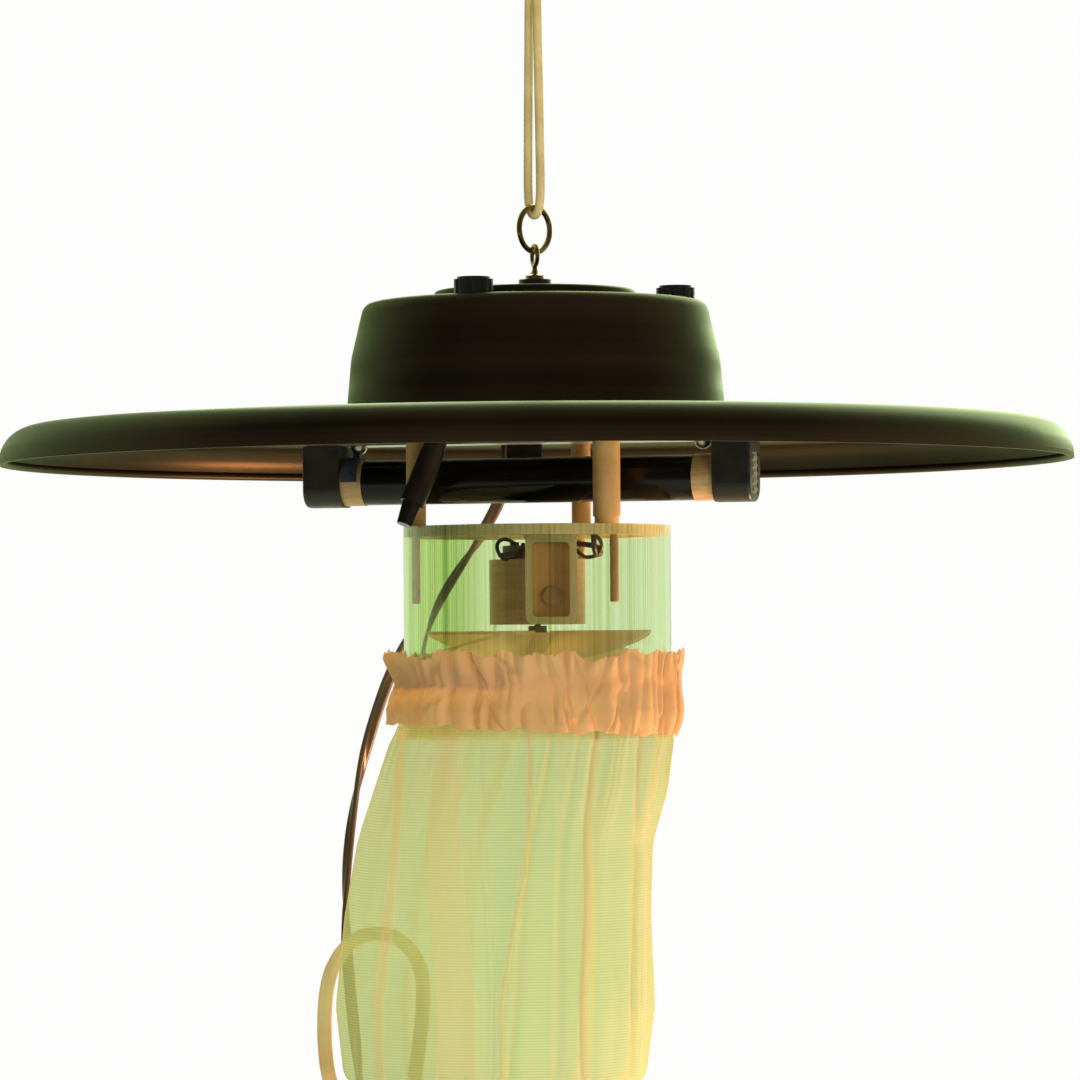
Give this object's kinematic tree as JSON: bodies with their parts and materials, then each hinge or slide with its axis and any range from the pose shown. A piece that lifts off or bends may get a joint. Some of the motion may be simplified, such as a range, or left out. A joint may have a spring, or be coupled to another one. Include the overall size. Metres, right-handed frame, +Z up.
{
  "type": "hanging light trap for insects",
  "caption": "Hanging suction light trap for insects: round rain shield on a rope and swivel, ultraviolet tube lamp, clear cylinder with motor and fan, and a net collection bag.",
  "frame": {"origin": "the point that the rope loop hangs from, at the inside of the loop's top", "axes": "+Z up along the rope and the trap's axis, -Y towards the side with the wide post and the motor bracket, +X to the right of that side"},
  "size_m": [0.3556, 0.3556, 0.5023],
  "materials": {
    "rope": "braided cream cord",
    "brass": "bright, slightly tarnished",
    "shield_metal": "spun, dark bronze, satin with fine rings",
    "black_plastic": "moulded, satin",
    "steel": "zinc plated",
    "chassis_paint": "dark satin paint",
    "black_rubber": "smooth, slightly glossy",
    "board": "fibreglass board",
    "transformer": "varnished core",
    "grey_plastic": "moulded",
    "clip_plastic": "dark bluish, translucent",
    "sensor_black": "cast resin",
    "lamp_glass": "black filter glass, polished",
    "lamp_metal": "brushed cap",
    "cream_plastic": "turned, satin",
    "clear_acrylic": "clear, polished",
    "brown_plate": "brown, satin",
    "motor_metal": "warm grey, drawn",
    "motor_head": "moulded",
    "lead_brown": "smooth",
    "fan_plastic": "translucent cream",
    "cuff_cotton": "gathered cotton",
    "elastic": "woven elastic",
    "net": "sheer ribbed net",
    "tape": "flat woven tape"
  },
  "bodies": {
    "hanger": {"rope_strands": "rope", "rope_knot": "rope", "rope_loop": "rope"},
    "ring": {"hanging_ring": "brass"},
    "swivel": {"swivel_eye": "brass", "swivel_nut": "steel"},
    "trap": {"rain_shield": "shield_metal", "top_cap": "shield_metal", "swivel_washers": "black_plastic", "stud_pillars": "steel", "chassis_plate": "chassis_paint", "chassis_nuts": "steel", "chassis_spacers": "steel", "cable_grommet": "black_rubber", "terminal_block": "grey_plastic", "inverter_board": "board", "inverter_transformer": "transformer", "capacitors": "grey_plastic", "control_module": "black_plastic", "lamp_holders": "black_plastic", "holder_contacts": "grey_plastic", "lamp_rail": "steel", "rail_screws": "steel", "tube_clip": "clip_plastic", "photoswitch_sleeve": "black_rubber", "photoswitch_sensor": "sensor_black", "front_post": "cream_plastic", "side_posts": "cream_plastic", "threaded_rods": "steel", "clear_cylinder": "clear_acrylic", "cylinder_deck": "clear_acrylic", "motor_bracket": "clear_acrylic", "motor_clamp": "brown_plate", "clamp_bolt": "steel", "motor_can": "motor_metal", "motor_flange": "motor_metal", "motor_magnets": "transformer", "brush_holder": "motor_head", "motor_leads": "lead_brown", "power_cable": "black_rubber", "cable_coil": "black_rubber", "coil_tie": "black_plastic", "cable_tail": "black_rubber", "plug_body": "black_plastic", "plug_barrel": "brass"},
    "lamp": {"lamp_tube": "lamp_glass", "lamp_caps": "lamp_metal", "lamp_pins": "lamp_metal"},
    "fan": {"fan": "fan_plastic", "fan_collar": "grey_plastic", "motor_rotor": "transformer"},
    "nut_a": {"thumb_nut_a": "black_plastic"},
    "nut_b": {"thumb_nut_b": "black_plastic"},
    "nut_c": {"thumb_nut_c": "black_plastic"},
    "bag": {"bag_cuff": "cuff_cotton", "cuff_elastic": "elastic", "net_bag": "net", "tie_knot": "tape", "tie_tape": "tape"}
  },
  "joints": [
    {"name": "ring_swing", "type": "hinge", "parent": "hanger", "child": "ring", "pos_m": [0, 0, -0.0996], "axis": [0.6691, 0.7431, 0], "range_deg": [-45, 45]},
    {"name": "trap_swing", "type": "hinge", "parent": "ring", "child": "swivel", "pos_m": [0, 0, -0.1124], "axis": [-0.2588, 0.9659, 0], "range_deg": [-45, 45]},
    {"name": "swivel_spin", "type": "hinge", "parent": "swivel", "child": "trap", "pos_m": [0, 0, -0.124], "axis": [0, 0, 1], "continuous": true},
    {"name": "fan_spin", "type": "hinge", "parent": "trap", "child": "fan", "pos_m": [0, 0, -0.245], "axis": [0, 0, 1], "continuous": true},
    {"name": "lamp_twist", "type": "hinge", "parent": "trap", "child": "lamp", "pos_m": [-0.0022, 0, -0.1905], "axis": [0.9686, -0.2487, 0], "range_deg": [0, 90]},
    {"name": "nut_a_turn", "type": "hinge", "parent": "trap", "child": "nut_a", "pos_m": [-0.01986, -0.0426, -0.129], "axis": [0, 0, 1], "continuous": true},
    {"name": "nut_b_turn", "type": "hinge", "parent": "trap", "child": "nut_b", "pos_m": [0.04682, 0.0041, -0.129], "axis": [0, 0, 1], "continuous": true},
    {"name": "nut_c_turn", "type": "hinge", "parent": "trap", "child": "nut_c", "pos_m": [-0.02696, 0.0385, -0.129], "axis": [0, 0, 1], "continuous": true},
    {"name": "bag_slide", "type": "slide", "parent": "trap", "child": "bag", "axis": [0, 0, -1], "range_m": [0, 0.1]}
  ]
}
